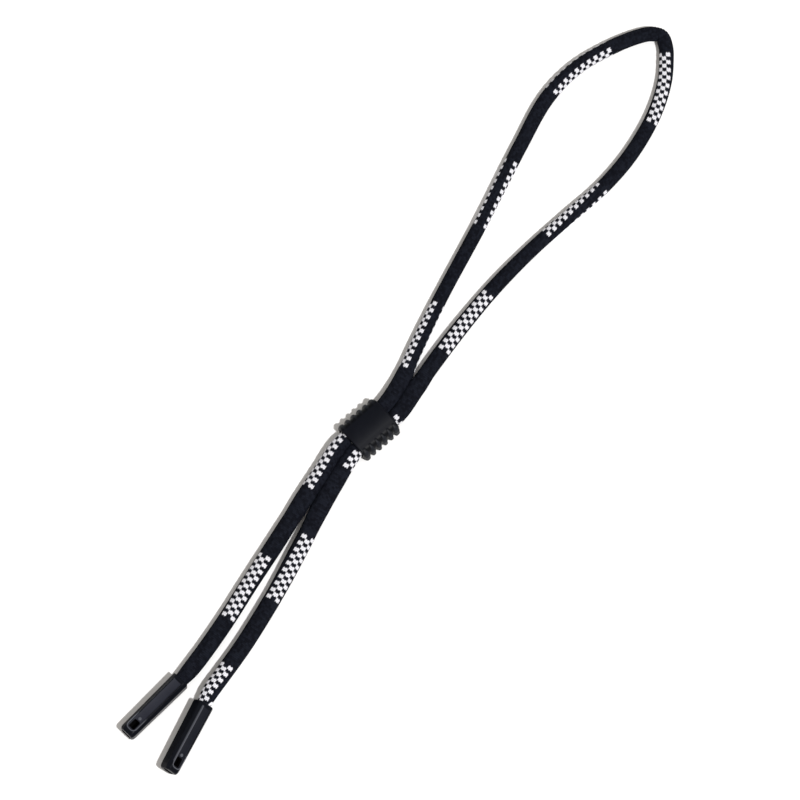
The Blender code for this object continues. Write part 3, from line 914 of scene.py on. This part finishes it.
def fabric_material():
    """Dark yarn with blue-grey fibres and a white second yarn; the furrows between the stitches are
    painted darker as shade.
    """
    it = Finish("knit_fabric")
    fibres, cloud = it.noise(5200.0, 3.0), it.noise(330.0, 2.0)
    dark = it.mixed((0.0006, 0.0008, 0.0020), (0.0046, 0.0056, 0.0105), fibres)
    faded = it.mixed((0.0042, 0.0052, 0.0086), (0.0120, 0.0146, 0.0240), fibres)
    uneven = it.blended(cloud, it.attribute("shade"), 0.5)
    dark = it.mixed(dark, faded, it.spread(uneven, -1.2, 2.2))
    pale = it.mixed((0.66, 0.66, 0.72), (0.94, 0.94, 0.98), fibres)
    thread = it.mixed(dark, pale, it.attribute("white"))
    # Painted shade: low in its stitch the yarn is mixed towards near black, by the stitch's height.
    grain = it.spread(it.attribute("grain"), 0.35, 1.0)
    it.set(Base_Color=it.mixed((0.002, 0.002, 0.004), thread, grain))
    it.set(Roughness=0.85, Specular_IOR_Level=0.09)
    it.bump((fibres, 0.00004))
    return it.material


def plastic_material():
    """Satin black plastic with a very fine moulded grain. The ribs are painted paler as lit, and the
    gaps between them darker as shade.
    """
    it = Finish("moulded_plastic")
    grain, cloud = it.noise(7000.0, 2.0), it.noise(260.0, 3.0)
    plain = it.mixed((0.0020, 0.0024, 0.0044), (0.0044, 0.0051, 0.0084), cloud)
    # Painted light and shade: in the band, what stands out is painted pale as lit, and the gaps near
    # black as shade.
    lit_ribs_shaded_gaps = it.mixed((0.0016, 0.0019, 0.0030), (0.0105, 0.0118, 0.0155), it.attribute("proud"))
    it.set(Base_Color=it.mixed(plain, lit_ribs_shaded_gaps, it.attribute("band")))
    it.set(Roughness=it.spread(cloud, 0.42, 0.54), Specular_IOR_Level=0.10)
    it.bump((grain, 0.000004), (cloud, 0.00003))
    return it.material


def rubber_material():
    """Satin black rubber. The land has a softer, rougher finish and a painted grey sheen; the beads,
    the ridge and the pip are painted pale as highlights; the openings' walls are rough and painted dark
    as shade.
    """
    it = Finish("grip_rubber")
    grain, cloud = it.noise(6000.0, 2.0), it.noise(240.0, 3.0)
    on_land, painted_highlight, rough_shaded_core = (it.attribute(key) for key in ("land", "bead", "core"))
    body = it.mixed((0.0022, 0.0027, 0.0044), (0.0044, 0.0052, 0.0082), cloud)
    # Painted sheen: the land's grey.
    land = it.mixed((0.0150, 0.0162, 0.0235), (0.0230, 0.0246, 0.0345), cloud)
    # Painted highlight: the beads, the ridge and the pip are painted pale.
    colour = it.mixed(it.mixed(body, land, on_land), (0.072, 0.076, 0.090), painted_highlight)
    # Painted shade: the openings' walls are painted near black; their roughness is their own.
    it.set(Base_Color=it.mixed(colour, (0.0004, 0.0004, 0.0006), rough_shaded_core))
    rough = it.blended(it.spread(cloud, 0.28, 0.36), it.spread(cloud, 0.46, 0.54), on_land)
    it.set(Roughness=it.blended(rough, 1.0, rough_shaded_core), Specular_IOR_Level=0.09)
    it.bump((grain, 0.000005), (cloud, 0.00003))
    return it.material


# ---------------------------------------------------------------- the scene
bpy.context.scene.view_settings.view_transform = "Standard"
build_camera()
build_world()
build_floor()
build_key_light()
fabric = fabric_material()
strap, strap_pieces = build_strap(fabric)
join_strap(strap, strap_pieces)
build_slider(plastic_material())
rubber = rubber_material()
for grip_name in GRIPS:
    build_grip(grip_name, rubber)
build_yarn_end(fabric)
